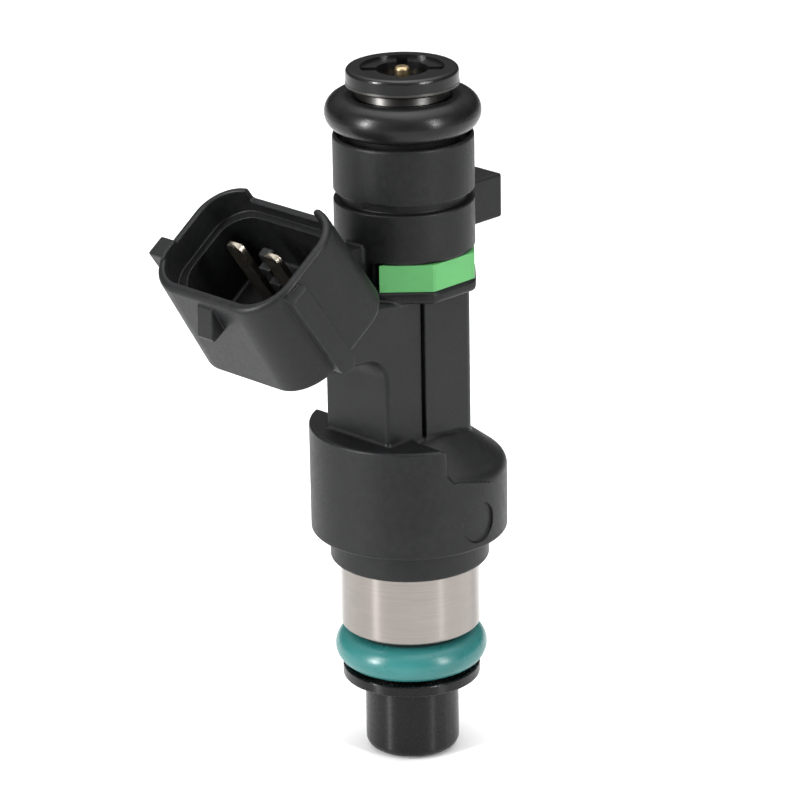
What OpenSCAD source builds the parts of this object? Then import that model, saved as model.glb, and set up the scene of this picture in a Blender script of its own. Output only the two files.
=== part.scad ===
/* [Overall] */
// Radius of the large housing around the coil
housing_r = 9.36; // [9.3:0.01:9.4]
// Height of the housing's flat top edge above the nozzle face
housing_top = 33.43; // [33.3:0.01:33.6]
// Radius of the upper body that enters the fuel rail cup
upper_r = 6.57; // [6.5:0.01:6.65]
// Height of the upper body's top face
upper_top = 61.72; // [61.6:0.01:61.8]

/* [Nozzle end] */
// Radius of the nozzle sleeve
nozzle_r = 4.5; // [4.45:0.01:4.6]
// Height of the underside of the tip flange
tip_flange_z = 7.5; // [7.3:0.05:7.6]
// Radius of the steel valve body band
band_r = 6.7; // [6.6:0.01:6.75]
// Underside height of the steel band
band_z = 12.85; // [12.85:0.05:13.2]
// Underside height of the moulded lower lip, the seating shoulder
lip_z = 19.76; // [19.5:0.02:19.9]
// Radius of the moulded lower lip
lip_r = 7.59; // [7.4:0.01:7.8]

/* [Seals] */
// Section radius of the lower seal ring
lower_ring_section = 1.7; // [1.6:0.01:1.7]
// Height of the lower seal ring's middle
lower_ring_z = 10.58; // [10.5:0.01:10.6]
// Section radius of the upper seal ring
upper_ring_section = 1.73; // [1.7:0.01:1.73]
// Height of the upper seal ring's middle
upper_ring_z = 63.79; // [63.78:0.01:63.9]

/* [Connector] */
// Tilt of the connector axis from vertical, in degrees
conn_tilt = 35.5; // [35:0.1:36]
// Width of the connector shell
conn_w = 16.44; // [16.2:0.02:16.6]
// Height of the connector shell at its mouth
conn_h = 12.45; // [12.4:0.05:12.5]
// How much the underside flares out towards the back
conn_flare = 0.8; // [0.6:0.05:0.9]
// Outer corner radius of the connector shell
conn_corner = 4.2; // [3.8:0.1:4.4]
// Depth of the connector shell
conn_len = 10.9; // [10.7:0.1:11]
// Depth of the socket floor below the mouth
socket_depth = 9.1; // [8.8:0.1:9.2]
// Distance of the mouth's middle from the injector axis
mouth_out = 20.42; // [20.3:0.02:20.5]
// Height of the mouth's middle
mouth_up = 55.63; // [55.5:0.01:55.7]
// Distance between the two terminal blades
blade_pitch = 4.8; // [4.7:0.1:5]

/* [Valve] */
// Gap that the armature closes when the coil pulls it
lift = 0.08; // [0.06:0.01:0.1]
// Radius of the valve ball
ball_r = 1.5; // [1.4:0.05:1.5]
// Turns of the return spring
spring_turns = 7; // [6:1:8]

/* [Hidden] */
fn = 96;
e = 0.01;

tube_r = 3.8;          // outside of the steel inlet tube
tube_bore = 3.1;
neck_r = 3.9;          // steel neck under the lower seal ring
column_r = 5.95;       // moulded column between housing and collar
column_flat = 4.35;    // half width over the column's side flats
rib_back = 2.0;        // where the rib's flush side ends and the flats begin
dome_r = 1.3;          // radius of the housing's domed shoulder
dome_z = 28.85;
rib_half = 4.12;       // half width of the rib that carries the terminals
rib_front = 6.74;      // distance of the rib's front face from the axis
collar_z = 47;
sector_b = 3.2;         // the housing's high part lies beyond this distance towards the connector
gland_z = 61.0;         // floor of the recess under the upper seal ring
green_z = 48.24;
green_top = 50.79;
yoke_r = 8.2;
yoke_z = 23.6;
yoke_top = 29.6;
pole_face = 26.5 + lift;
seat_k = 1.9;          // height of the seat cone's apex, cone at 45 degrees
ball_z = seat_k + (ball_r + 0.01) * sqrt(2);

// cutter for one corner of a half profile: sr is 1 on an outer edge, sz is 1 on a top edge
module rnd(R, Z, f, sr = 1, sz = 1)
    difference() {
        translate([sr > 0 ? R - f : R - e, sz > 0 ? Z - f : Z - e]) square([f + e, f + e]);
        translate([R - sr * f, Z - sz * f]) circle(r = f, $fn = 64);
    }
// fills the inner corner between a wall at R and a face at Z
module fil(R, Z, f)
    difference() {
        translate([R - e, Z - e]) square([f + e, f + e]);
        translate([R + f, Z + f]) circle(r = f, $fn = 64);
    }
module spin() rotate_extrude($fn = fn) children();
module tube(r1, r2, z1, z2) spin() translate([r1, z1]) square([r2 - r1, z2 - z1]);
// a profile given as (distance from the axis towards the connector, height), spread along X
module side(w) rotate([0, 0, -90]) rotate([90, 0, 0]) linear_extrude(w, center = true) children();
// connector frame: X across, Y towards the body, Z out of the mouth
module conn() translate([0, -mouth_out, mouth_up]) rotate([conn_tilt, 0, 0]) children();
module rrect(w, h, r) {
    square([w - 2 * r, h], center = true);
    square([w, h - 2 * r], center = true);
    for (x = [-1, 1], y = [-1, 1]) translate([x * (w / 2 - r), y * (h / 2 - r)]) circle(r = r, $fn = 64);
}
// octagon of the collar, its flats cut back to a circle at the corners
module oct(ap, r)
    intersection() {
        rotate(22.5) circle(r = ap / cos(22.5), $fn = 8);
        circle(r = r, $fn = fn);
    }

// ---- moulded body ----
module body_profile()
    difference() {
        union() {
            translate([0, green_top]) square([upper_r, upper_top - green_top]);
            translate([0, 22.75]) square([housing_r, dome_z - 22.75]);
            translate([housing_r - dome_r, dome_z]) circle(r = dome_r, $fn = 96);
            polygon([[0, 28.8], [housing_r - dome_r, dome_z], [housing_r - dome_r + 0.8, dome_z + 1.03], [column_r - 0.2, 32.25], [0, 32.25]]);
            translate([0, lip_z]) square([lip_r, 3.5]);
            translate([0, collar_z + 0.3]) square([5.4, 5]);
        }
        rnd(upper_r, upper_top, 0.45);
        rnd(housing_r, 22.75, 0.35, 1, -1);
        rnd(lip_r, lip_z, 0.3, 1, -1);
        translate([5.5, 55.54]) square([3, 0.92]);
        translate([0, gland_z]) square([6.15, 2]);
    }
// round column with flats at both sides, set back where the rib's sides are flush
module column()
    difference() {
        translate([0, 0, 29]) cylinder(r = column_r, h = 18.3, $fn = fn);
        for (s = [0, 1]) mirror([s, 0, 0]) {
            translate([column_flat, -8, 29]) cube([4, 16, collar_z + 0.4 - 29]);
            translate([rib_half, -8, 29]) cube([4, 8 - rib_back, collar_z + 0.4 - 29]);
        }
    }
// shallow groove where the rib's side begins
module side_groove()
    for (s = [0, 1]) mirror([s, 0, 0]) translate([rib_half - 0.34, -rib_back - 0.15, 33.5]) cube([3, 0.24, collar_z - 33.5]);
// the housing's high part, towards the connector
module housing_front()
    intersection() {
        spin() difference() {
            translate([column_r - 1, 28]) square([housing_r - column_r + 1, housing_top - 28]);
            rnd(housing_r, housing_top, 0.25);
        }
        translate([-12, -12, 27]) cube([24, 12 - sector_b, 10]);
    }
module rib()
    translate([0, 0, 29.6]) linear_extrude(43.5 - 29.6)
        intersection() {
            translate([-rib_half, -rib_front]) square([2 * rib_half, rib_front - 1.5]);
            union() {
                translate([-rib_half, -rib_front + 0.4]) square([2 * rib_half, 6]);
                translate([-rib_half + 0.4, -rib_front]) square([2 * rib_half - 0.8, 6]);
                for (x = [-1, 1]) translate([x * (rib_half - 0.4), -rib_front + 0.4]) circle(r = 0.4, $fn = 48);
            }
        }
module arm() {
    side(2 * rib_half) difference() {
        polygon([[1.9, 42], [6.2, 39.2], [7.3, 39.2], [7.3, 42.25], [18.6, 42.8], [14.6, 47.6], [11, 48.2], [1.9, 46.6]]);
        translate([rib_front + 2.4, 39.85]) circle(r = 2.4, $fn = 64);
        translate([rib_front, 36]) square([5, 3.85]);
    }
    side(2.3) polygon([[4, 44], [12, 47], [13, 52.0], [7, 52.4], [4, 52.2]]);
}
// half of a rounded rectangle's outline: rounded below at Y = -h, open above
module half_shell(h) {
    k = conn_w / 2 - conn_corner;
    translate([-conn_w / 2, conn_corner - h]) square([conn_w, 30]);
    translate([-k, -h]) square([2 * k, 30]);
    for (x = [-k, k]) translate([x, conn_corner - h]) circle(r = conn_corner, $fn = 96);
}
module conn_block() {
    up = conn_h / 2 - 0.225;
    down = conn_h / 2 + 0.225;
    lean = atan(conn_flare / conn_len);
    conn() intersection() {
        translate([0, 0, -conn_len]) linear_extrude(conn_len) mirror([0, 1]) half_shell(up);
        rotate([-lean, 0, 0]) translate([0, 0, -20]) linear_extrude(40) half_shell(down * cos(lean));
        rotate([90, 0, 90]) linear_extrude(30, center = true) difference() {
            translate([-10, -conn_len]) square([20, 20]);
            mirror([1, 0]) rnd(down + conn_flare, -conn_len, 0.5, 1, -1);
            rnd(up, -conn_len, 0.5, 1, -1);
        }
        rotate([90, 0, 0]) linear_extrude(30, center = true) difference() {
            translate([-10, -conn_len]) square([20, 20]);
            for (s = [0, 1]) mirror([s, 0]) rnd(conn_w / 2, -conn_len, 0.5, 1, -1);
        }
    }
}
// guide rails on both sides, round at the back; the one at -X reaches past the rim
module rails()
    conn() for (s = [-1, 1]) translate([s * (conn_w / 2 + 0.03), -2.7, 0]) {
        translate([-1.0, -1.05, -10.2]) cube([2.0, 2.1, s < 0 ? 10.5 : 9.6]);
        translate([0, 0, -10.2]) rotate([0, 90, 0]) cylinder(r = 1.05, h = 2.0, center = true, $fn = 48);
    }
module latch()
    conn() rotate([90, 0, 90]) linear_extrude(1.96, center = true)
        polygon([[-5.8, -0.9], [-6.7, -0.9], [-8.35, -3.15], [-8.3, -3.6], [-5.8, -3.7]]);
module socket_cut()
    conn() {
        translate([0, -0.12, -socket_depth]) linear_extrude(20) rrect(13.2, 9.5, 3);
        translate([0, -0.12, -2.7]) linear_extrude(20) rrect(14.84, 10.9, 3.3);
        translate([-4.5, 4, -1.5]) cube([9, 4, 6]);
    }
// moulded key between the blades, with two steps in its near side
module socket_key()
    conn() rotate([90, 0, 90]) linear_extrude(1.5, center = true)
        polygon([[0.3, -9.6], [0.3, -5.8], [1.1, -5.8], [1.1, -4.5], [0.3, -4.5], [0.3, -3.7], [0.95, -3.7], [0.95, -2.9], [1.3, -2.5], [1.7, -2.5], [2, -2.9], [2, -9.6]]);
module lug()
    translate([-2.4, 5, 51.45]) cube([4.8, 5.65, 4.3]);

module overmold_body() color([0.2, 0.2, 0.21]) difference() {
    union() {
        difference() {
            union() {
                spin() body_profile();
                column();
                housing_front();
                rib();
                translate([0, 0, collar_z]) linear_extrude(green_z - collar_z) oct(6.58, 7.02);
                arm();
                conn_block();
                rails();
                latch();
                lug();
            }
            socket_cut();
        }
        socket_key();
    }
    // seat of the colour band, open where the arm crosses it
    difference() {
        translate([0, 0, green_z]) difference() {
            cylinder(r = 9, h = green_top - green_z, $fn = fn);
            translate([0, 0, -1]) cylinder(r = 5.4, h = 6, $fn = fn);
        }
        translate([-2.85, -12, green_z - 1]) cube([5.7, 12, 6]);
    }
    side_groove();
    // inner spaces: inlet tube, pole, coil and yoke, valve body
    translate([0, 0, 31.8]) cylinder(r = tube_r, h = 40, $fn = fn);
    translate([0, 0, yoke_top - 1]) cylinder(r = 4.5, h = 31.8 - yoke_top + 1, $fn = fn);
    translate([0, 0, yoke_z]) cylinder(r = yoke_r, h = yoke_top - yoke_z, $fn = fn);
    translate([0, 0, lip_z - 1]) cylinder(r = band_r, h = 6, $fn = fn);
    for (s = [-1, 1]) blade(s);
    // moulding gate mark on the housing's side
    translate([housing_r - 0.24, 0, 25.4]) rotate([0, 90, 0]) cylinder(r = 1.95, h = 2, $fn = 48);
}
module colour_band() color([0.25, 0.75, 0.35])
    translate([0, 0, green_z]) linear_extrude(green_top - green_z) difference() {
        oct(6.42, 6.9);
        circle(r = 5.4, $fn = fn);
        translate([-2.85, -12]) square([5.7, 12]);
    }

// ---- fuel inlet ----
module inlet_tube() color([0.8, 0.8, 0.82]) spin() difference() {
    union() {
        translate([tube_bore, 31.8]) square([tube_r - tube_bore, 34.5]);
        polygon([[tube_bore, 64.9], [tube_r, 65.0], [4.45, 65.35], [4.28, 65.95], [4.4, 66.2], [4.75, 66.36], [5.27, 66.38], [5.27, 66.6], [tube_bore, 66.6]]);
    }
}
module inlet_cap() color([0.12, 0.12, 0.12]) difference() {
    spin() difference() {
        union() {
            translate([2.45, 64.4]) square([tube_bore - 2.45, 2.3]);
            translate([2.45, 66.6]) square([5.24 - 2.45, 1.34]);
        }
        rnd(5.24, 67.94, 0.4);
        translate([0, 67.69]) square([3.9, 1]);
    }
    for (a = [45, 135]) rotate([0, 0, a]) translate([-3.9, -0.5, 67.1]) cube([7.8, 1.0, 2]);
}
module filter_frame() color([0.75, 0.6, 0.3]) {
    tube(1.95, tube_bore, 59, 60.6);
    for (a = [45, 135, 225, 315]) rotate([0, 0, a]) translate([1.98, -0.3, 60]) cube([0.42, 0.6, 6.3]);
    // blunt pin in the middle of the inlet
    spin() difference() {
        union() {
            translate([0, 64.9]) square([0.42, 2.4]);
            translate([0, 66.9]) square([0.7, 1.04]);
        }
        rnd(0.7, 67.94, 0.3);
    }
    for (a = [45, 135]) rotate([0, 0, a]) translate([-2.4, -0.3, 65.2]) cube([4.8, 0.6, 1.1]);
    translate([0, 0, 48.4]) cylinder(r = 2.3, h = 0.5, $fn = fn);
    for (a = [0, 90, 180, 270]) rotate([0, 0, a]) translate([1.95, -0.3, 48.4]) cube([0.35, 0.6, 11.2]);
}
module filter_mesh() color([0.6, 0.6, 0.6]) tube(1.85, 1.95, 48.9, 60.2);
module upper_o_ring() color([0.1, 0.1, 0.1])
    spin() translate([tube_r + upper_ring_section, upper_ring_z]) circle(r = upper_ring_section, $fn = 64);
module upper_backup_washer() color([0.1, 0.1, 0.1]) tube(tube_r, 5.2, gland_z, 62.05);

// ---- electrical parts ----
// a terminal's path: blade in the socket, level run through the arm, down the rib
function tc(v, d) = [mouth_out - v * cos(conn_tilt) + d * sin(conn_tilt), mouth_up + v * sin(conn_tilt) + d * cos(conn_tilt)];
function tz(v, z) = tc(v, (z - mouth_up - v * sin(conn_tilt)) / cos(conn_tilt));
module terminal_profile()
    polygon([tc(0.74, -1.2), tc(0.6, -0.95), tc(0.34, -0.95), tc(0.2, -1.2), tz(0.2, 44.3), [5.7, 44.3], [5.7, 28.8], [5.0, 28.8], [5.0, 44.84], tz(0.74, 44.84)]);
module blade(s) translate([s * blade_pitch / 2, 0, 0]) intersection() {
    side(2.05) terminal_profile();
    conn() rotate([90, 0, 0]) linear_extrude(200, center = true) difference() {
        translate([-2, -90.95]) square([4, 90]);
        for (k = [0, 1]) mirror([k, 0]) rnd(1.025, -0.95, 1.0);
    }
}
module terminal_left() color([0.75, 0.72, 0.62]) blade(-1);
module terminal_right() color([0.75, 0.72, 0.62]) blade(1);
module coil_bobbin() color([0.3, 0.3, 0.28]) spin() {
    translate([4.5, 24.4]) square([2.95, 0.6]);
    translate([4.5, 28.2]) square([2.95, 0.6]);
    translate([4.5, 24.4]) square([0.6, 4.4]);
}
module coil_winding() color([0.72, 0.4, 0.2]) tube(5.1, 7.1, 25.0, 28.2);
module yoke_shell() color([0.6, 0.6, 0.62]) spin() {
    translate([7.5, yoke_z]) square([yoke_r - 7.5, yoke_top - yoke_z]);
    translate([band_r, yoke_z]) square([yoke_r - band_r, 0.8]);
}
module upper_yoke_washer() color([0.6, 0.6, 0.62]) difference() {
    tube(4.5, 7.5, 28.8, yoke_top);
    translate([-3.9, -9, 28]) cube([7.8, 9 - 4.7, 3]);
}
module pole_core() color([0.65, 0.65, 0.67]) spin() {
    translate([1.7, pole_face]) square([1.6, 8]);
    translate([1.7, 27.6]) square([2.8, 31.8 - 27.6]);
    translate([1.7, 31]) square([tube_bore - 1.7, 3.2]);
}
module adjusting_tube() color([0.8, 0.8, 0.8]) tube(1.0, 1.7, 29.8, 37);
module nonmagnetic_ring() color([0.75, 0.72, 0.65]) tube(3.3, 4.5, 25.9, 27.6);

// ---- valve ----
module valve_body() color([0.78, 0.76, 0.74]) spin() difference() {
    union() {
        translate([2.8, 2.0]) square([0.75, 8]);
        translate([2.4, 4.5]) square([neck_r - 2.4, 9]);
        translate([2.4, band_z]) square([band_r - 2.4, 24.4 - band_z]);
        translate([2.4, 24]) square([2.1, 1.9]);
    }
    translate([3.55, 0]) square([2, 8.6]);
    translate([0, 18.6]) square([3.25, 20]);
    rnd(band_r, band_z, 0.4, 1, -1);
}
module guide_disc() color([0.7, 0.7, 0.72]) difference() {
    tube(1.15, 3.25, 18.6, 19.1);
    for (a = [0:90:270]) rotate([0, 0, a]) translate([2.1, 0, 18]) cylinder(r = 0.4, h = 2, $fn = 32);
}
module valve_seat() color([0.7, 0.7, 0.72]) difference() {
    spin() polygon([[0.5, 2.0], [2.8, 2.0], [2.8, 4.5], [ball_r + 0.04, 4.5], [ball_r + 0.04, seat_k + ball_r + 0.04], [0.5, seat_k + 0.5]]);
    for (a = [0, 120, 240]) rotate([0, 0, a]) translate([1.75, 0, 3.3]) cylinder(r = 0.45, h = 2, $fn = 32);
}
module orifice_plate() color([0.75, 0.75, 0.77]) difference() {
    translate([0, 0, 1.7]) cylinder(r = 3.1, h = 0.3, $fn = fn);
    for (a = [45:90:315]) rotate([0, 0, a]) translate([0.35, 0, 1]) cylinder(r = 0.12, h = 2, $fn = 24);
}
module tip_cap() color([0.08, 0.08, 0.08]) spin() difference() {
    union() {
        translate([3.55, 1.7]) square([nozzle_r - 3.55, 6.5]);
        translate([2.4, 0]) square([nozzle_r - 2.4, 1.7]);
        translate([3.55, tip_flange_z]) square([6.62 - 3.55, 1.1]);
    }
    rnd(nozzle_r, 0, 0.85, 1, -1);
    rnd(6.62, tip_flange_z, 0.15, 1, -1);
    rnd(6.62, tip_flange_z + 1.1, 0.15);
}
module lower_backup_washer() color([0.1, 0.1, 0.1]) tube(neck_r, 5.6, lower_ring_z + lower_ring_section + 0.05, band_z);
module lower_o_ring() color([0.25, 0.6, 0.58])
    spin() translate([neck_r + lower_ring_section, lower_ring_z]) circle(r = lower_ring_section, $fn = 64);
module armature() color([0.55, 0.55, 0.57]) difference() {
    tube(1.1, 3.2, 20.0, 26.5);
    translate([0, 0, 22.5]) cylinder(r = 1.7, h = 9, $fn = fn);
    for (a = [0:90:270]) rotate([0, 0, a]) translate([2.4, 0, 19]) cylinder(r = 0.4, h = 9, $fn = 32);
}
module needle_tube() color([0.7, 0.7, 0.72]) difference() {
    tube(0.6, 1.1, ball_z + 0.8, 22.5);
    translate([0, 0, ball_z]) sphere(r = ball_r, $fn = fn);
    translate([0, 0, 8]) rotate([90, 0, 0]) cylinder(r = 0.35, h = 4, center = true, $fn = 32);
}
module valve_ball() color([0.8, 0.8, 0.82]) translate([0, 0, ball_z]) sphere(r = ball_r, $fn = fn);

// return spring: an eight-sided wire swept along a helix between the armature and the adjusting tube
spring_wire = 0.2;
spring_lo = 22.5 + spring_wire;
spring_hi = 29.8 - spring_wire;
spring_R = 1.35;
spring_n = 16 * spring_turns;
function helix(i) = let (a = 360 * spring_turns * i / spring_n, k = i / spring_n)
    [spring_R * cos(a), spring_R * sin(a), spring_lo + (spring_hi - spring_lo) * k];
function ring_pt(i, j) = let (a = 360 * spring_turns * i / spring_n, p = helix(i), w = 360 * j / 8)
    [p[0] + spring_wire * cos(w) * cos(a), p[1] + spring_wire * cos(w) * sin(a), p[2] + spring_wire * sin(w)];
module return_spring() color([0.6, 0.6, 0.6])
    polyhedron(
        points = [for (i = [0:spring_n], j = [0:7]) ring_pt(i, j)],
        faces = concat(
            [for (i = [0:spring_n - 1], j = [0:7]) [8 * i + j, 8 * i + (j + 1) % 8, 8 * (i + 1) + (j + 1) % 8, 8 * (i + 1) + j]],
            [[for (j = [7:-1:0]) j]], [[for (j = [0:7]) 8 * spring_n + j]]));

overmold_body();
colour_band();
inlet_tube();
inlet_cap();
filter_frame();
filter_mesh();
upper_o_ring();
upper_backup_washer();
terminal_left();
terminal_right();
coil_bobbin();
coil_winding();
yoke_shell();
upper_yoke_washer();
pole_core();
adjusting_tube();
return_spring();
nonmagnetic_ring();
valve_body();
guide_disc();
valve_seat();
orifice_plate();
lower_backup_washer();
lower_o_ring();
tip_cap();
armature();
needle_tube();
valve_ball();
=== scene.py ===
import math
import bpy
import bmesh
import numpy as np
from mathutils import Matrix, Vector


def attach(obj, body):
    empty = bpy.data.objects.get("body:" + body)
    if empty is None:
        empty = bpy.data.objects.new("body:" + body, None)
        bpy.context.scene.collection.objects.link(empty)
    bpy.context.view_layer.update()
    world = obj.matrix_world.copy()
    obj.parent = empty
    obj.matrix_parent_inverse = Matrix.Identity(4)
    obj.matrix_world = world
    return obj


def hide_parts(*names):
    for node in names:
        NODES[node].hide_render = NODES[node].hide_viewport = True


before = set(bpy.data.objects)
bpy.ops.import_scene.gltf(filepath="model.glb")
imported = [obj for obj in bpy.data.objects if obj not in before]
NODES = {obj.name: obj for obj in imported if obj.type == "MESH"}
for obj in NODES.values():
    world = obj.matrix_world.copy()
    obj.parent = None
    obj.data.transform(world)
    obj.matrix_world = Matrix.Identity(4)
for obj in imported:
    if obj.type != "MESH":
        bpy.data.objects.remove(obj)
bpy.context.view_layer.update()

F = np.float32

# =====================================================================
# 1. Moulded body: a distance field of rounded primitives, in millimetres,
#    turned into one closed mesh with real fillets
# =====================================================================
TILT = math.radians(35.5)
ST, CT = math.sin(TILT), math.cos(TILT)
MOUTH_B, MOUTH_Z = 20.42, 55.63


def hyp(a, b):
    return np.sqrt(a * a + b * b)


def u_round(a, b, r):
    return np.maximum(r, np.minimum(a, b)) - hyp(np.maximum(r - a, 0), np.maximum(r - b, 0))


def i_round(a, b, r):
    return np.minimum(-r, np.maximum(a, b)) + hyp(np.maximum(r + a, 0), np.maximum(r + b, 0))


def cut(a, b, r):
    return i_round(a, -b, r)


def rect(px, py, hx, hy, r):
    qx, qy = np.abs(px) - (hx - r), np.abs(py) - (hy - r)
    return np.minimum(np.maximum(qx, qy), 0) + hyp(np.maximum(qx, 0), np.maximum(qy, 0)) - r


def span(c, lo, hi):
    return np.abs(c - F((lo + hi) / 2)) - F((hi - lo) / 2)


def extrude(d2, s, r):
    """A flat shape's distance d2 and a slab's distance s, joined with edges rounded by r."""
    return i_round(d2, s, r)


def poly(px, py, pts):
    """Distance to a closed polygon."""
    d = np.full(px.shape, 1e6, F)
    s = np.ones(px.shape, F)
    n = len(pts)
    j = n - 1
    for i in range(n):
        ax, ay = pts[i]
        bx, by = pts[j]
        ex, ey = bx - ax, by - ay
        wx, wy = px - F(ax), py - F(ay)
        t = np.clip((wx * F(ex) + wy * F(ey)) / F(ex * ex + ey * ey), 0, 1)
        dx, dy = wx - F(ex) * t, wy - F(ey) * t
        d = np.minimum(d, dx * dx + dy * dy)
        c1, c2, c3 = py >= F(ay), py < F(by), F(ex) * wy > F(ey) * wx
        flip = (c1 & c2 & c3) | (~c1 & ~c2 & ~c3)
        s = np.where(flip, -s, s)
        j = i
    return s * np.sqrt(d)


def local(y, z):
    """Connector frame: v across the mouth towards the body, d out of the mouth."""
    yy, zz = y + F(MOUTH_B), z - F(MOUTH_Z)
    return yy * F(CT) + zz * F(ST), -yy * F(ST) + zz * F(CT)


def outer(P):
    x, y, z = P[:, 0], P[:, 1], P[:, 2]
    ax, b, rho = np.abs(x), -y, hyp(x, y)
    # column with side flats, narrower where the rib starts
    col = i_round(rho - F(5.95), ax - F(4.35), 0.3)
    col = np.maximum(col, np.minimum(ax - F(4.12), b - F(2.0)))
    col = extrude(col, span(z, 29, 47), 0.1)
    # rib and the wide part of the arm, one side profile
    prof = u_round(rect(b - F(4.2), z - F(37), 2.54, 8.4, 0.05),
                   poly(b, z, [(1.9, 42.2), (7.3, 42.25), (18.6, 42.8), (14.6, 47.6), (11.0, 48.2), (1.9, 46.6)]), 2.4)
    rib = extrude(prof, ax - F(4.12), 0.4)
    web = extrude(poly(b, z, [(4, 44), (12, 47), (13, 52.0), (7.2, 52.4), (4, 52.2)]), ax - F(1.15), 0.25)
    stem = np.minimum(col, rib)
    stem = cut(stem, rect(b - F(2.03), ax - F(4.4), 0.12, 0.62, 0.04), 0.05)
    # collar
    c, s = F(math.cos(math.pi / 4)), F(math.sin(math.pi / 4))
    octo = np.maximum(np.maximum(ax, np.abs(y)), np.maximum(np.abs(x * c + y * s), np.abs(x * c - y * s))) - F(6.58)
    collar = extrude(i_round(octo, rho - F(7.02), 0.2), span(z, 47.0, 48.24), 0.45)
    collar = np.minimum(collar, extrude(rho - F(5.4), span(z, 47.6, 52), 0.05))
    stem = u_round(stem, collar, 0.3)
    stem = u_round(stem, web, 0.3)
    # upper body with its groove, and the lug
    up = rect(rho, z - F(56.255), 6.57, 5.465, 0.3)
    up = cut(up, rect(rho - F(7.0), z - F(56.0), 1.15, 0.46, 0.1), 0.1)
    up = cut(up, rect(rho, z - F(62.5), 6.15, 1.5, 0.15), 0.12)
    lug = extrude(rect(x, z - F(53.6), 2.4, 2.15, 0.25), span(y, 4.5, 10.65), 0.25)
    up = u_round(up, lug, 0.2)
    up = u_round(up, web, 0.3)
    # housing: full height towards the connector, a domed shoulder elsewhere
    th = np.arctan2(ax, b)  # 0 towards the connector, pi at the lug
    k = np.clip((F(1.9) - th) / F(0.6), 0, 1)
    k = k * k * (3 - 2 * k)
    can = rect(rho, z - F(28.09), 9.36, 5.34, 0.28)
    dome = poly(rho + F(0.2) * k, z - F(0.45) * k, [(-9, 24.5), (8.06, 24.5), (8.06, 28.85), (5.16, 31.07), (4.4, 31.6), (-9, 31.6)]) - F(1.3)
    keep = u_round(z - (F(28.85) + F(1.1) * k), dome, F(0.06) * k)
    wedge = F(3.3) + (z - F(33.43)) * F(0.09) - b
    keep = u_round(keep, wedge, 0.35)
    t = np.clip((z - F(30.0)) / F(1.0), 0, 1)
    t = t * t * (3 - 2 * t)
    low = i_round(can, keep, (F(0.005) + F(0.12) * k) * (1 - t) + F(0.9) * t)
    lip = rect(rho, z - F(22.38), 7.59, 2.62, 0.3)
    low = u_round(low, lip, 0.18)
    body = u_round(stem, low, 0.3)
    body = np.minimum(body, up)
    # connector shell: it flares a little towards its back
    v, d = local(y, z)
    kk = np.clip(-d, 0, 12)
    vv = np.where(v < 0, v * F(6.3) / (F(6.45) + kk * F(0.075)), v * F(6.3 / 6.0))
    shell = rect(ax, vv, 8.22, 6.3, 4.2)
    con = i_round(shell, -(d + F(10.9)), 0.5)
    con = i_round(con, d, 0.5)
    # rails, one each side
    rr = i_round(hyp(v + F(2.7), d - np.clip(d, -10.2, 9)) - F(1.05), d - np.where(x > 0, F(-0.6), F(0.3)), 0.18)
    rail = i_round(rr, span(ax, 6.5, 9.25), 0.18)
    con = u_round(con, rail, 0.05)
    latch = i_round(poly(v, d, [(-5.8, -0.9), (-6.7, -0.9), (-8.35, -3.15), (-8.3, -3.6), (-5.8, -3.7)]), ax - F(0.98), 0.1)
    con = u_round(con, latch, 0.1)
    body = u_round(body, con, 0.4)
    return body, x, y, z, ax, b, rho, v, d


def body_sdf(P):
    body, x, y, z, ax, b, rho, v, d = outer(P)
    # socket
    hole = i_round(rect(x, v + F(0.12), 6.6, 4.75, 3.0), -(d + F(9.1)), 0.4)
    step = i_round(rect(x, v + F(0.12), 7.42, 5.45, 3.3), -(d + F(2.7)), 0.1)
    hole = np.minimum(hole, step)
    notch = i_round(i_round(ax - F(4.5), -(d + F(1.5)), 0.25), 4.0 - v, 0.05)
    hole = np.minimum(hole, notch)
    body = cut(body, hole, 0.2)
    # moulded key between the blades, with two steps in its near side
    key = i_round(rect(x, v - F(1.47), 0.75, 0.53, 0.3), d + F(2.5), 0.4)
    key = np.minimum(key, i_round(rect(x, v - F(1.1), 0.75, 0.8, 0.12), span(d, -4.5, -3.7), 0.1))
    key = np.minimum(key, i_round(rect(x, v - F(1.1), 0.75, 0.8, 0.12), d + F(5.8), 0.1))
    body = np.minimum(body, np.maximum(key, -(d + F(9.6))))
    # inner spaces for tube, pole, coil and valve body
    inner = np.minimum(np.maximum(rho - F(3.82), F(31.8) - z), np.maximum(rho - F(4.52), span(z, 28.6, 31.9)))
    inner = np.minimum(inner, np.maximum(rho - F(8.22), span(z, 23.6, 29.6)))
    inner = np.minimum(inner, np.maximum(rho - F(6.73), z - F(24.4)))
    body = np.maximum(body, -inner)
    # shallow round mark on the housing's side
    mark = np.maximum(hyp(y, z - F(25.4)) - F(1.95), F(9.12) - rho)
    mark = np.maximum(mark, -x)
    return cut(body, mark, 0.05)


def grad(f, P, h=0.02):
    g = np.empty_like(P)
    for i in range(3):
        e = np.zeros(3, F)
        e[i] = h
        g[:, i] = (f(P + e) - f(P - e)) / F(2 * h)
    return g


def in_parts(f, P, n=400000):
    return np.concatenate([f(P[i:i + n]) for i in range(0, len(P), n)]) if len(P) else np.zeros(0, F)


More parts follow.
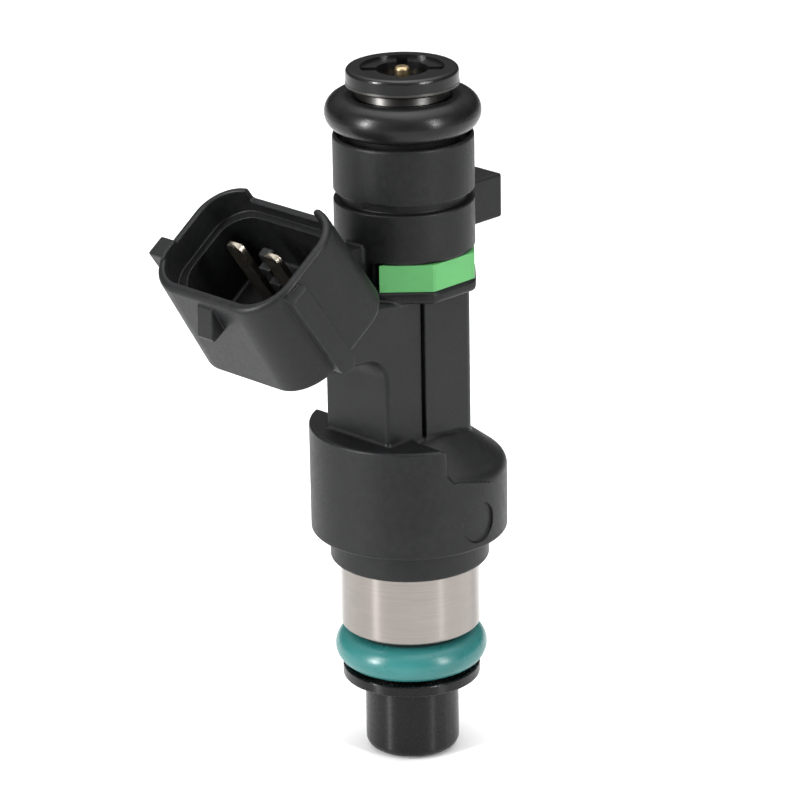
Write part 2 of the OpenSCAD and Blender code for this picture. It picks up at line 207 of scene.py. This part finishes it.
def mesh_of(f, lo, hi, h, B=16):
    """Surface nets over the blocks of the grid that the surface crosses, each vertex then moved onto the surface."""
    lo = np.array(lo, float)
    nb = np.ceil((np.array(hi) - lo) / (h * B)).astype(int)
    n = nb * B + 1
    ci = np.stack(np.meshgrid(*[np.arange(k) for k in nb], indexing="ij"), -1).reshape(-1, 3)
    cen = (lo + (ci + 0.5) * B * h).astype(F)
    fc = in_parts(f, cen)
    near = np.abs(fc) < B * h * 0.5 * math.sqrt(3) * 1.25 + 0.3
    grid = np.empty(tuple(n), F)
    sign = np.where(fc > 0, 9, -9).astype(F)
    for (i, j, k), s in zip(ci, sign):
        grid[i * B:i * B + B + 1, j * B:j * B + B + 1, k * B:k * B + B + 1] = s
    loc = np.stack(np.meshgrid(*[np.arange(B + 1)] * 3, indexing="ij"), -1).reshape(-1, 3)
    todo = ci[near]
    for g in range(0, len(todo), 64):
        part = todo[g:g + 64]
        idx = part[:, None, :] * B + loc[None]
        P = (lo + idx.reshape(-1, 3) * h).astype(F)
        val = f(P)
        idx = idx.reshape(-1, 3)
        grid[idx[:, 0], idx[:, 1], idx[:, 2]] = val
    ins = grid < 0
    c = np.zeros(tuple(n - 1), np.uint8)
    for a in (0, 1):
        for b_ in (0, 1):
            for d_ in (0, 1):
                c += ins[a:n[0] - 1 + a, b_:n[1] - 1 + b_, d_:n[2] - 1 + d_]
    act = (c > 0) & (c < 8)
    cell = np.argwhere(act)
    num = np.full(act.shape, -1, np.int32)
    num[act] = np.arange(len(cell), dtype=np.int32)
    acc = np.zeros((len(cell), 3), F)
    cnt = np.zeros(len(cell), F)
    corners = [(a, b_, d_) for a in (0, 1) for b_ in (0, 1) for d_ in (0, 1)]
    for p in corners:
        for axis in range(3):
            if p[axis]:
                continue
            q = list(p)
            q[axis] = 1
            v0 = grid[cell[:, 0] + p[0], cell[:, 1] + p[1], cell[:, 2] + p[2]]
            v1 = grid[cell[:, 0] + q[0], cell[:, 1] + q[1], cell[:, 2] + q[2]]
            cross = (v0 < 0) != (v1 < 0)
            t = np.where(cross, v0 / np.where(cross, v0 - v1, 1), 0)
            pos = np.empty((len(cell), 3), F)
            for m in range(3):
                pos[:, m] = p[m] + (t if m == axis else 0)
            acc += pos * cross[:, None]
            cnt += cross
    V = (lo + (cell + acc / cnt[:, None]) * h).astype(F)
    quads = []
    for axis in range(3):
        s0 = [slice(1, n[m] - 1) for m in range(3)]
        s1 = list(s0)
        s0[axis] = slice(0, n[axis] - 1)
        s1[axis] = slice(1, n[axis])
        a, b_ = ins[tuple(s0)], ins[tuple(s1)]
        e = np.argwhere(a != b_)
        flag = a[tuple(e.T)]
        off = np.ones(3, int)
        off[axis] = 0
        e = e + off
        m1, m2 = (axis + 1) % 3, (axis + 2) % 3
        def at(d1, d2):
            q = e.copy()
            q[:, m1] -= d1
            q[:, m2] -= d2
            return num[q[:, 0], q[:, 1], q[:, 2]]
        quad = np.stack([at(1, 1), at(0, 1), at(0, 0), at(1, 0)], 1)
        quad[~flag] = quad[~flag][:, ::-1]
        quads.append(quad)
    return V, np.concatenate(quads)


def settle(f, V, rounds=3):
    for _ in range(rounds):
        d = in_parts(f, V)
        g = np.concatenate([grad(f, V[i:i + 200000]) for i in range(0, len(V), 200000)])
        g /= np.maximum(np.linalg.norm(g, axis=1, keepdims=True), 0.3)
        V = V - np.clip(d, -0.1, 0.1)[:, None] * g
    return V


def new_object(name, V, faces, scale=0.001):
    me = bpy.data.meshes.new(name)
    V = np.asarray(V, F) * F(scale)
    faces = np.asarray(faces)
    me.vertices.add(len(V))
    me.vertices.foreach_set("co", V.ravel())
    k = faces.shape[1]
    me.loops.add(faces.size)
    me.loops.foreach_set("vertex_index", faces.ravel().astype(np.int32))
    me.polygons.add(len(faces))
    me.polygons.foreach_set("loop_start", np.arange(0, faces.size, k, dtype=np.int32))
    me.update(calc_edges=True)
    me.validate()
    me.shade_smooth()
    o = bpy.data.objects.new(name, me)
    bpy.context.scene.collection.objects.link(o)
    return o


def apply_modifiers(o):
    dg = bpy.context.evaluated_depsgraph_get()
    me = bpy.data.meshes.new_from_object(o.evaluated_get(dg))
    old = o.data
    o.modifiers.clear()
    o.data = me
    bpy.data.meshes.remove(old)


def body_mesh():
    h = 0.13
    V, Q = mesh_of(body_sdf, (-9.9, -26.8, 19.4), (9.9, 10.9, 62.2), h)
    V = settle(body_sdf, V, 2)
    o = new_object("moulded_body", V, Q)
    tris = 2 * len(Q)
    goal = 130000
    if tris > goal:
        m = o.modifiers.new("thin", "DECIMATE")
        m.ratio = goal / tris
        apply_modifiers(o)
        co = np.empty(len(o.data.vertices) * 3, F)
        o.data.vertices.foreach_get("co", co)
        co = settle(body_sdf, co.reshape(-1, 3) * F(1000), 2)
        o.data.vertices.foreach_set("co", (co * F(0.001)).ravel())
    # shading normals from the field
    co = np.empty(len(o.data.vertices) * 3, F)
    o.data.vertices.foreach_get("co", co)
    co = co.reshape(-1, 3) * F(1000)
    g = np.concatenate([grad(body_sdf, co[i:i + 200000], 0.03) for i in range(0, len(co), 200000)])
    g /= np.maximum(np.linalg.norm(g, axis=1, keepdims=True), 1e-6)
    o.data.shade_smooth()
    o.data.normals_split_custom_set_from_vertices([tuple(v) for v in g.tolist()])
    o.data.update()
    return o


body = body_mesh()
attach(body, "root")
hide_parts("overmold_body")

# =====================================================================
# 2. Materials, all from nodes, in object coordinates (metres)
# =====================================================================


class Mat:
    """A material being built: a Principled shader with helpers for the nodes that feed it."""

    def __init__(self, name, color, rough, metallic=0.0, **sockets):
        self.m = bpy.data.materials.new(name)
        self.m.use_nodes = True
        self.t = self.m.node_tree
        self.t.nodes.clear()
        self.out = self.t.nodes.new("ShaderNodeOutputMaterial")
        self.p = self.t.nodes.new("ShaderNodeBsdfPrincipled")
        self.t.links.new(self.p.outputs[0], self.out.inputs[0])
        self.p.inputs["Base Color"].default_value = (*color, 1)
        self.p.inputs["Roughness"].default_value = rough
        self.p.inputs["Metallic"].default_value = metallic
        for k, v in sockets.items():
            self.p.inputs[k.replace("_", " ")].default_value = v
        self.tc = self.t.nodes.new("ShaderNodeTexCoord")
        self.bump_in = None

    def new(self, kind, **props):
        n = self.t.nodes.new("ShaderNode" + kind)
        for k, v in props.items():
            setattr(n, k, v)
        return n

    def link(self, a, b):
        self.t.links.new(a, b)

    def coords(self, sx=1, sy=1, sz=1, loc=(0, 0, 0)):
        n = self.new("Mapping")
        n.inputs["Scale"].default_value = (sx, sy, sz)
        n.inputs["Location"].default_value = loc
        self.link(self.tc.outputs["Object"], n.inputs["Vector"])
        return n.outputs[0]

    def noise(self, scale, detail=2, rough=0.5, vec=None, w=0.0):
        n = self.new("TexNoise")
        n.noise_dimensions = "3D"
        n.inputs["Scale"].default_value = scale
        n.inputs["Detail"].default_value = detail
        n.inputs["Roughness"].default_value = rough
        self.link(vec if vec is not None else self.coords(loc=(w, w, w)), n.inputs["Vector"])
        return n.outputs["Fac"]

    def ramp(self, fac, lo, hi, a, b):
        n = self.new("MapRange")
        n.clamp = True
        for k, v in (("From Min", lo), ("From Max", hi), ("To Min", a), ("To Max", b)):
            n.inputs[k].default_value = v
        self.link(fac, n.inputs["Value"])
        return n.outputs["Result"]

    def mix(self, fac, c1, c2, kind="MIX"):
        n = self.new("Mix")
        n.data_type = "RGBA"
        n.blend_type = kind
        ins = [i for i in n.inputs if i.name in ("A", "B") and i.type == "RGBA"]
        if isinstance(fac, (int, float)):
            n.inputs[0].default_value = fac
        else:
            self.link(fac, n.inputs[0])
        for c, i in ((c1, ins[0]), (c2, ins[1])):
            if isinstance(c, (tuple, list)):
                i.default_value = (*c[:3], 1)
            else:
                self.link(c, i)
        return [o for o in n.outputs if o.type == "RGBA"][0]

    def math(self, op, a, b=None):
        n = self.new("Math", operation=op)
        for i, v in enumerate((a, b)):
            if v is None:
                continue
            if isinstance(v, (int, float)):
                n.inputs[i].default_value = v
            else:
                self.link(v, n.inputs[i])
        return n.outputs[0]

    def color(self, out):
        self.link(out, self.p.inputs["Base Color"])

    def rough(self, out):
        self.link(out, self.p.inputs["Roughness"])

    def bump(self, height, distance, strength=1.0):
        n = self.new("Bump")
        n.inputs["Strength"].default_value = strength
        n.inputs["Distance"].default_value = distance
        self.link(height, n.inputs["Height"])
        if self.bump_in is not None:
            self.link(self.bump_in, n.inputs["Normal"])
        self.bump_in = n.outputs[0]
        self.link(n.outputs[0], self.p.inputs["Normal"])

    def upright(self, amount):
        """Stretch highlights up and down the axis."""
        self.p.inputs["Anisotropic"].default_value = amount
        self.p.inputs["Anisotropic Rotation"].default_value = 0.25
        tan = self.new("Tangent")
        tan.direction_type, tan.axis = "RADIAL", "Z"
        self.link(tan.outputs[0], self.p.inputs["Tangent"])


def plastic(name, dark, light, rough=(0.42, 0.56), grain=5200, depth=0.000012, spec=0.5, mottle=0.25, aniso=0.0):
    """Moulded plastic: cloudy tone, fine grain and a few paler specks."""
    m = Mat(name, dark, rough[0])
    m.p.inputs["Specular IOR Level"].default_value = spec
    if aniso:
        m.upright(aniso)
    broad = m.noise(260, 3, 0.55)
    cloud = m.noise(1500, 3, 0.6, w=4.4)
    fine = m.noise(grain, 2, 0.6)
    c = m.mix(m.ramp(broad, 0.3, 0.7, 0, 1), dark, light)
    c = m.mix(m.ramp(cloud, 0.35, 0.65, mottle, 0), c, tuple(x * 0.4 for x in dark))
    c = m.mix(m.ramp(m.noise(grain * 0.45, 3, 0.7, w=3.1), 0.58, 0.8, 0, mottle), c, tuple(min(1, x * 1.6) for x in light))
    m.color(c)
    m.rough(m.ramp(m.math("ADD", m.math("MULTIPLY", cloud, 0.5), m.math("MULTIPLY", fine, 0.5)), 0.35, 0.65, *rough))
    m.bump(fine, depth, 0.8)
    m.bump(cloud, depth * 2, 0.3)
    return m.m


def rubber(name, dark, light, rough=(0.3, 0.42), spec=0.5):
    m = Mat(name, dark, rough[0])
    m.p.inputs["Specular IOR Level"].default_value = spec
    broad, fine = m.noise(420, 4, 0.6), m.noise(7000, 2, 0.5)
    m.color(m.mix(m.ramp(broad, 0.3, 0.7, 0, 1), dark, light))
    m.rough(m.ramp(broad, 0.3, 0.7, *rough))
    m.bump(fine, 0.000004, 0.6)
    m.bump(broad, 0.00002, 0.15)
    return m.m


def turned(name, base, rough=(0.22, 0.36), lines=42000, depth=0.0000025, tint=0.12, aniso=0.0):
    """Turned or brushed metal: fine lines round the axis."""
    m = Mat(name, base, rough[0], 1.0)
    if aniso:
        m.upright(aniso)
    fine = m.noise(1, 3, 0.65, vec=m.coords(420, 420, lines))
    mid = m.noise(1, 2, 0.5, vec=m.coords(160, 160, lines * 0.22, (1, 2, 3)))
    broad = m.noise(300, 3, 0.5, w=5)
    f = m.math("ADD", m.math("MULTIPLY", fine, 0.6), m.math("MULTIPLY", mid, 0.4))
    dark = tuple(x * (1 - tint) for x in base)
    light = tuple(min(1, x * (1 + tint)) for x in base)
    c = m.mix(m.ramp(f, 0.3, 0.7, 0, 1), dark, light)
    c = m.mix(m.ramp(broad, 0.35, 0.75, 0, 0.35), c, tuple(x * 0.8 for x in base))
    m.color(c)
    m.rough(m.ramp(f, 0.3, 0.7, rough[1], rough[0]))
    m.bump(f, depth, 0.6)
    return m.m


def drawn(name, base, rough=(0.25, 0.4), tint=0.2, scale=2600):
    """Rolled, stamped or tinned metal."""
    m = Mat(name, base, rough[0], 1.0)
    a, b = m.noise(scale, 4, 0.6), m.noise(500, 3, 0.6, w=2)
    m.color(m.mix(m.ramp(b, 0.3, 0.7, 0, 1), tuple(x * (1 - tint) for x in base), base))
    m.rough(m.ramp(a, 0.3, 0.7, *rough))
    m.bump(a, 0.000004, 0.5)
    return m.m


MATERIALS = {
    "overmold_body": plastic("moulded_black", (0.006, 0.0063, 0.0068), (0.0088, 0.0091, 0.0097), (0.4, 0.52), spec=0.24, mottle=0.5),
    "colour_band": plastic("green_plastic", (0.085, 0.31, 0.10), (0.095, 0.34, 0.11), (0.34, 0.45), grain=4200, depth=0.000004, spec=0.3, mottle=0.06),
    "inlet_cap": plastic("cap_plastic", (0.006, 0.006, 0.0063), (0.008, 0.008, 0.0083), (0.22, 0.26), grain=6000, depth=0.0000004, spec=0.35, mottle=0.15),
    "tip_cap": plastic("tip_plastic", (0.0015, 0.0015, 0.0017), (0.0025, 0.0025, 0.0027), (0.25, 0.31), grain=6000, depth=0.000001, spec=0.26, mottle=0.15, aniso=0.9),
    "upper_o_ring": rubber("black_rubber", (0.0055, 0.0055, 0.0058), (0.008, 0.008, 0.0084), (0.25, 0.33), spec=0.24),
    "lower_o_ring": rubber("teal_rubber", (0.019, 0.125, 0.12), (0.024, 0.142, 0.138), (0.26, 0.34), spec=0.36),
    "washer": plastic("washer_plastic", (0.006, 0.006, 0.006), (0.009, 0.009, 0.009), (0.5, 0.65), spec=0.15),
    "valve_body": turned("stainless_band", (0.275, 0.252, 0.234), (0.17, 0.23), aniso=0.85),
    "inlet_tube": turned("stainless_tube", (0.08, 0.078, 0.074), (0.36, 0.46), lines=30000, aniso=0.5),
    "terminal": drawn("tinned_terminal", (0.3, 0.27, 0.225), (0.3, 0.4), tint=0.12, scale=1600),
    "brass": drawn("filter_brass", (0.5, 0.38, 0.22), (0.3, 0.45)),
    "gauze": drawn("filter_gauze", (0.5, 0.5, 0.48), (0.3, 0.5), scale=9000),
    "bobbin": plastic("bobbin_plastic", (0.2, 0.19, 0.17), (0.27, 0.26, 0.23)),
    "copper": turned("enamelled_copper", (0.62, 0.28, 0.12), (0.25, 0.4), lines=9000, depth=0.00002, tint=0.25),
    "magnetic": turned("magnetic_steel", (0.45, 0.45, 0.46), (0.3, 0.45)),
    "inner": turned("stainless_inner", (0.62, 0.62, 0.62), (0.18, 0.32)),
    "spring": drawn("spring_steel", (0.45, 0.45, 0.46), (0.25, 0.4)),
}
USES = {
    "upper_backup_washer": "washer", "lower_backup_washer": "washer", "terminal_left": "terminal", "terminal_right": "terminal",
    "filter_frame": "brass", "filter_mesh": "gauze", "coil_bobbin": "bobbin", "coil_winding": "copper", "yoke_shell": "magnetic",
    "upper_yoke_washer": "magnetic", "pole_core": "magnetic", "armature": "magnetic", "adjusting_tube": "inner",
    "nonmagnetic_ring": "inner", "guide_disc": "inner", "valve_seat": "inner", "orifice_plate": "inner", "needle_tube": "inner",
    "valve_ball": "inner", "return_spring": "spring",
}
for n, o in NODES.items():
    mat = MATERIALS[USES.get(n, n)]
    o.data.materials.clear()
    o.data.materials.append(mat)
body.data.materials.append(MATERIALS["overmold_body"])

# =====================================================================
# 3. Camera, floor and soft studio light
# =====================================================================
AZ, EL, DIST, ROLL = math.radians(45), math.radians(20.4), 0.3792, math.radians(0.94)
target = Vector((0, 0, 0.03531))
back = Vector((math.sin(AZ) * math.cos(EL), -math.cos(AZ) * math.cos(EL), math.sin(EL)))
cam_data = bpy.data.cameras.new("camera")
cam = bpy.data.objects.new("camera", cam_data)
bpy.context.scene.collection.objects.link(cam)
cam_data.sensor_width = 36
cam_data.lens = 36 * 4020 / 800
cam_data.shift_x = -7.46 / 800
cam_data.clip_start, cam_data.clip_end = 0.01, 20
cam.location = target + back * DIST
cam.rotation_mode = "QUATERNION"
cam.rotation_quaternion = (-back).to_track_quat("-Z", "Y") @ Matrix.Rotation(-ROLL, 3, "Z").to_quaternion()
bpy.context.scene.camera = cam

floor_mesh = bpy.data.meshes.new("floor")
bm = bmesh.new()
bmesh.ops.create_grid(bm, x_segments=2, y_segments=2, size=4.0)
bm.to_mesh(floor_mesh)
bm.free()
floor = bpy.data.objects.new("floor", floor_mesh)
floor.location = (0, 0, -0.0002)
bpy.context.scene.collection.objects.link(floor)
fm = Mat("floor_white", (0.93, 0.93, 0.93), 0.9)
fm.p.inputs["Specular IOR Level"].default_value = 0.1
floor.data.materials.append(fm.m)

world = bpy.data.worlds.new("studio")
bpy.context.scene.world = world
world.use_nodes = True
wt = world.node_tree
bg = next(n for n in wt.nodes if n.type == "BACKGROUND")
w_tc, w_sep = wt.nodes.new("ShaderNodeTexCoord"), wt.nodes.new("ShaderNodeSeparateXYZ")
w_map = wt.nodes.new("ShaderNodeMapRange")
w_map.interpolation_type = "SMOOTHSTEP"
for w_k, w_v in (("From Min", 0.1), ("From Max", 0.9), ("To Min", 0.035), ("To Max", 0.6)):
    w_map.inputs[w_k].default_value = w_v
wt.links.new(w_tc.outputs["Generated"], w_sep.inputs[0])
wt.links.new(w_sep.outputs["Z"], w_map.inputs["Value"])
wt.links.new(w_map.outputs["Result"], bg.inputs[1])
bg.inputs[0].default_value = (1, 1, 1, 1)


def softbox(name, az_deg, el_deg, dist, size, power, size_y=None, aim=None, spread=180):
    """A light at an azimuth measured like the camera's."""
    a, e = math.radians(az_deg), math.radians(el_deg)
    d = Vector((math.sin(a) * math.cos(e), -math.cos(a) * math.cos(e), math.sin(e)))
    L = bpy.data.lights.new(name, "AREA")
    L.shape = "RECTANGLE"
    L.size, L.size_y = size, size_y or size
    L.energy = power
    L.spread = math.radians(spread)
    o = bpy.data.objects.new(name, L)
    o.location = target + d * dist
    o.rotation_mode = "QUATERNION"
    o.rotation_quaternion = (-(aim or d)).to_track_quat("-Z", "Y")
    bpy.context.scene.collection.objects.link(o)
    return o


# a wide softbox level with the floor, above and behind, and a strip at either side
softbox("overhead", 225, 70, 0.37, 0.8, 1.3, 0.5, aim=Vector((0, 0, 1)), spread=95)
softbox("key_left", 45 - 57, 12, 0.8, 0.06, 0.62, 0.5, spread=40)
softbox("key_right", 45 + 49, 13, 0.8, 0.06, 0.3, 0.5, spread=40)
softbox("high_left", 45 - 57, 34, 0.8, 0.09, 0.08, 0.1, spread=40)
softbox("high_right", 45 + 49, 34, 0.8, 0.09, 0.06, 0.1, spread=40)

bpy.context.scene.view_settings.view_transform = "Standard"
bpy.context.scene.view_settings.look = "None"
bpy.context.scene.view_settings.exposure = 0.0
